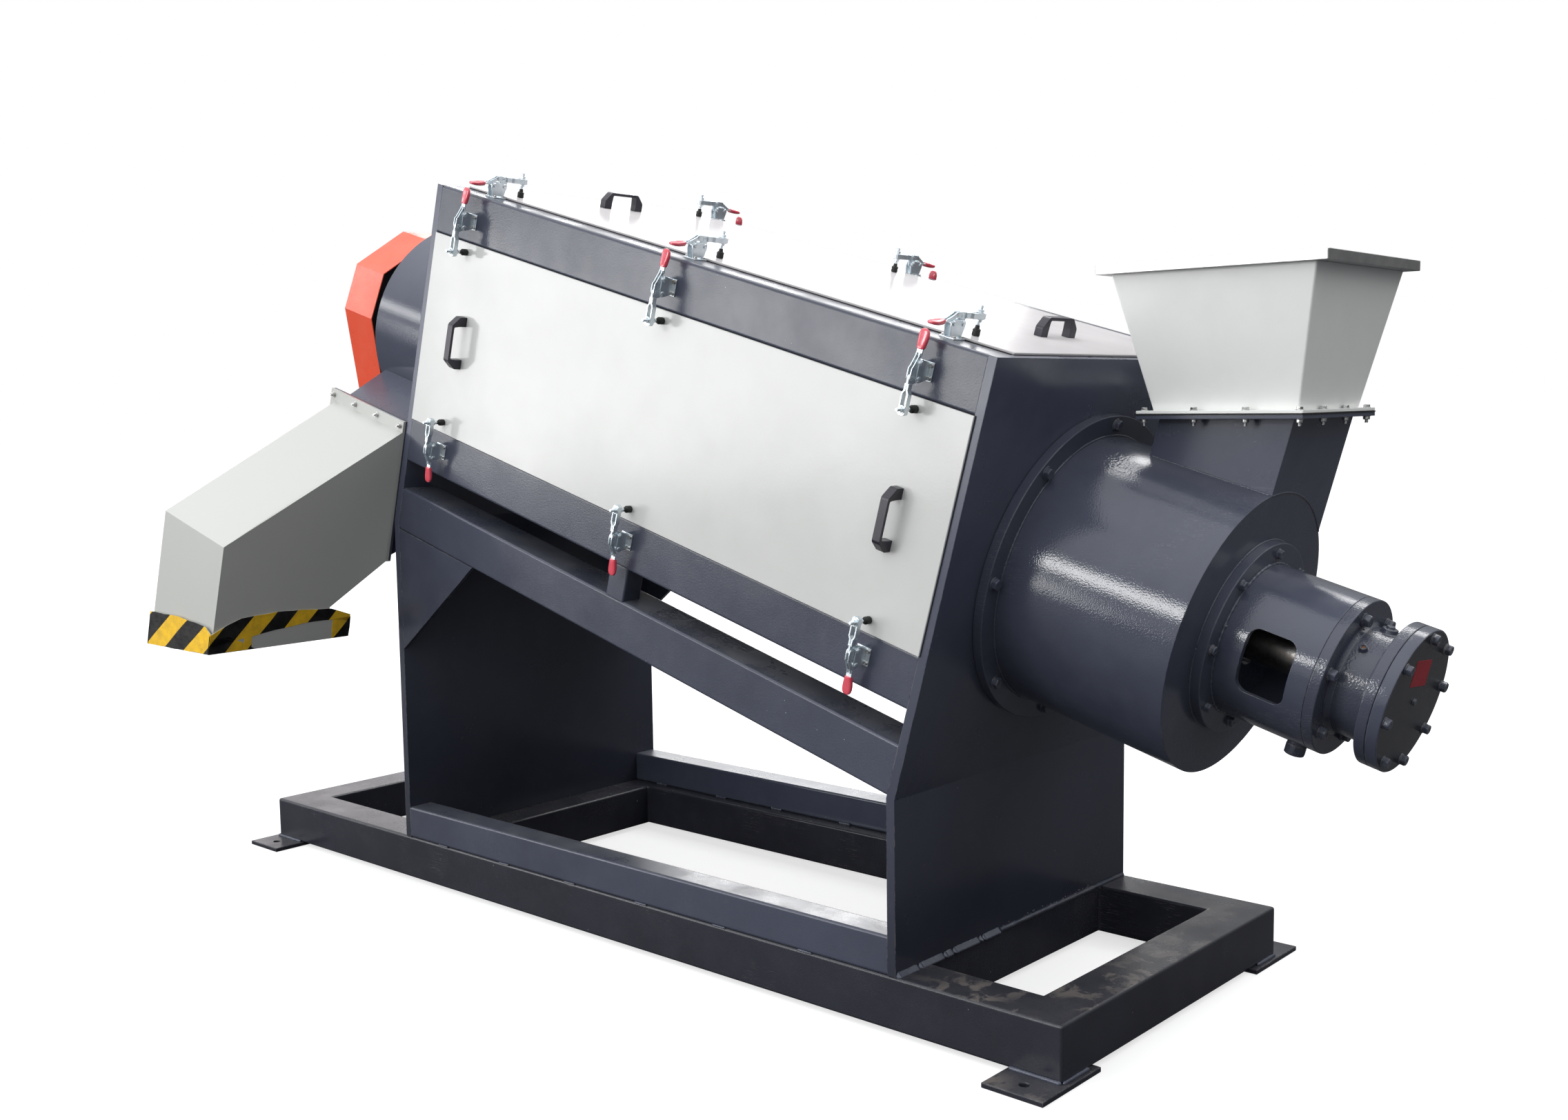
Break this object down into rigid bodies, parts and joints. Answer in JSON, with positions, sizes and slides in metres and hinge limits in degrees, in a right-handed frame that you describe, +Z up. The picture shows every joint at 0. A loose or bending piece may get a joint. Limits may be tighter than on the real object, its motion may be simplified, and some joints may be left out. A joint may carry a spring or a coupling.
{
  "type": "friction washer",
  "caption": "Inclined friction washer on a box-beam base: side and top covers held by toggle clamps, square feed hopper, discharge chute, belt guard, bearing pedestal.",
  "frame": {"origin": "on the floor, at the centre of the four anchor holes of the foot plates", "axes": "+Z up, +X along the base towards the feed end, -Y the front with the discharge chute"},
  "size_m": [3.5827, 1.635, 2.0556],
  "materials": {
    "frame_paint": "glossy dark grey-blue enamel, scuffed",
    "housing_paint": "glossy dark grey-blue enamel",
    "drum_paint": "glossy dark grey-blue enamel",
    "cover_paint": "semi-gloss cream white enamel",
    "black_plastic": "fine-textured black plastic",
    "zinc": "bright zinc plating",
    "red_vinyl": "dipped red vinyl grip on a zinc plated lever",
    "bare_steel": "bare brushed steel",
    "hazard_tape": "yellow and black diagonal warning tape",
    "guard_paint": "orange-red enamel",
    "shaft_steel": "dark machined steel"
  },
  "bodies": {
    "machine": {"base_beam_front": "frame_paint", "base_beam_rear": "frame_paint", "base_end_beam_left": "frame_paint", "base_end_beam_right": "frame_paint", "base_cross_beam_left": "frame_paint", "base_cross_beam_right": "frame_paint", "upper_beam_front": "frame_paint", "upper_beam_rear": "frame_paint", "base_foot_plates": "frame_paint", "end_plate_right": "housing_paint", "end_plate_left": "housing_paint", "top_rail_front": "housing_paint", "top_rail_rear": "housing_paint", "middle_rail_front": "housing_paint", "middle_rail_rear": "housing_paint", "lower_rail_front": "housing_paint", "lower_rail_rear": "housing_paint", "gusset_front": "housing_paint", "gusset_rear": "housing_paint", "side_panel_front": "cover_paint", "side_panel_rear": "cover_paint", "top_lid": "cover_paint", "hopper_body": "cover_paint", "chute": "cover_paint", "panel_handles_front": "black_plastic", "panel_handles_rear": "black_plastic", "lid_handles": "black_plastic", "clamp_bases_front": "zinc", "clamp_bases_rear": "zinc", "clamp_bases_top": "zinc", "inlet_flange": "drum_paint", "inlet_drum": "drum_paint", "inlet_spout": "drum_paint", "shaft_seal_flange": "drum_paint", "bearing_pedestal": "drum_paint", "bearing_housing": "drum_paint", "bearing_end_cover": "drum_paint", "drain_plug": "drum_paint", "outlet_drum": "drum_paint", "outlet_spout": "drum_paint", "guard_back_plate": "drum_paint", "drive_bearing_housing": "drum_paint", "hopper_rim": "bare_steel", "chute_mouth_collar": "hazard_tape", "pulley_guard": "guard_paint"},
    "rotor": {"rotor": "shaft_steel"},
    "clamp_arms_front_upper": {"clamp_arms_front_upper": "zinc"},
    "clamp_levers_front_upper": {"clamp_levers_front_upper": "red_vinyl"},
    "clamp_arms_front_lower": {"clamp_arms_front_lower": "zinc"},
    "clamp_levers_front_lower": {"clamp_levers_front_lower": "red_vinyl"},
    "clamp_arms_rear_upper": {"clamp_arms_rear_upper": "zinc"},
    "clamp_levers_rear_upper": {"clamp_levers_rear_upper": "red_vinyl"},
    "clamp_arms_rear_lower": {"clamp_arms_rear_lower": "zinc"},
    "clamp_levers_rear_lower": {"clamp_levers_rear_lower": "red_vinyl"},
    "clamp_arms_top_front": {"clamp_arms_top_front": "zinc"},
    "clamp_levers_top_front": {"clamp_levers_top_front": "red_vinyl"},
    "clamp_arms_top_rear": {"clamp_arms_top_rear": "zinc"},
    "clamp_levers_top_rear": {"clamp_levers_top_rear": "red_vinyl"}
  },
  "joints": [
    {"name": "rotor_spin", "type": "hinge", "parent": "machine", "child": "rotor", "pos_m": [1.20706, 0, 1.02576], "axis": [0.9619, 0, -0.2734], "continuous": true},
    {"name": "clamp_arm_front_upper_hinge", "type": "hinge", "parent": "machine", "child": "clamp_arms_front_upper", "pos_m": [0.39353, -0.533, 1.68218], "axis": [-0.9619, 0, 0.2734], "range_deg": [0, 76]},
    {"name": "clamp_lever_front_upper_hinge", "type": "hinge", "parent": "clamp_arms_front_upper", "child": "clamp_levers_front_upper", "pos_m": [0.39418, -0.5495, 1.68449], "axis": [0.9619, 0, -0.2734], "range_deg": [0, 114]},
    {"name": "clamp_arm_front_lower_hinge", "type": "hinge", "parent": "machine", "child": "clamp_arms_front_lower", "pos_m": [0.22567, -0.533, 1.09157], "axis": [0.9619, 0, -0.2734], "range_deg": [0, 76]},
    {"name": "clamp_lever_front_lower_hinge", "type": "hinge", "parent": "clamp_arms_front_lower", "child": "clamp_levers_front_lower", "pos_m": [0.22501, -0.5495, 1.08926], "axis": [-0.9619, 0, 0.2734], "range_deg": [0, 114]},
    {"name": "clamp_arm_rear_upper_hinge", "type": "hinge", "parent": "machine", "child": "clamp_arms_rear_upper", "pos_m": [0.39353, 0.533, 1.68218], "axis": [0.9619, 0, -0.2734], "range_deg": [0, 76]},
    {"name": "clamp_lever_rear_upper_hinge", "type": "hinge", "parent": "clamp_arms_rear_upper", "child": "clamp_levers_rear_upper", "pos_m": [0.39418, 0.5495, 1.68449], "axis": [-0.9619, 0, 0.2734], "range_deg": [0, 114]},
    {"name": "clamp_arm_rear_lower_hinge", "type": "hinge", "parent": "machine", "child": "clamp_arms_rear_lower", "pos_m": [0.22567, 0.533, 1.09157], "axis": [-0.9619, 0, 0.2734], "range_deg": [0, 76]},
    {"name": "clamp_lever_rear_lower_hinge", "type": "hinge", "parent": "clamp_arms_rear_lower", "child": "clamp_levers_rear_lower", "pos_m": [0.22501, 0.5495, 1.08926], "axis": [0.9619, 0, -0.2734], "range_deg": [0, 114]},
    {"name": "clamp_arm_top_front_hinge", "type": "hinge", "parent": "machine", "child": "clamp_arms_top_front", "pos_m": [0.42661, -0.417, 1.79857], "axis": [0.9619, 0, -0.2734], "range_deg": [0, 76]},
    {"name": "clamp_lever_top_front_hinge", "type": "hinge", "parent": "clamp_arms_top_front", "child": "clamp_levers_top_front", "pos_m": [0.43112, -0.4194, 1.81444], "axis": [-0.9619, 0, 0.2734], "range_deg": [0, 114]},
    {"name": "clamp_arm_top_rear_hinge", "type": "hinge", "parent": "machine", "child": "clamp_arms_top_rear", "pos_m": [0.42661, 0.417, 1.79857], "axis": [-0.9619, 0, 0.2734], "range_deg": [0, 76]},
    {"name": "clamp_lever_top_rear_hinge", "type": "hinge", "parent": "clamp_arms_top_rear", "child": "clamp_levers_top_rear", "pos_m": [0.43112, 0.4194, 1.81444], "axis": [0.9619, 0, -0.2734], "range_deg": [0, 114]}
  ],
  "couplings": [
    {"joint": "clamp_lever_front_upper_hinge", "follows": "clamp_arm_front_upper_hinge", "ratio": 1.5},
    {"joint": "clamp_lever_front_lower_hinge", "follows": "clamp_arm_front_lower_hinge", "ratio": 1.5},
    {"joint": "clamp_lever_rear_upper_hinge", "follows": "clamp_arm_rear_upper_hinge", "ratio": 1.5},
    {"joint": "clamp_lever_rear_lower_hinge", "follows": "clamp_arm_rear_lower_hinge", "ratio": 1.5},
    {"joint": "clamp_lever_top_front_hinge", "follows": "clamp_arm_top_front_hinge", "ratio": 1.5},
    {"joint": "clamp_lever_top_rear_hinge", "follows": "clamp_arm_top_rear_hinge", "ratio": 1.5}
  ]
}
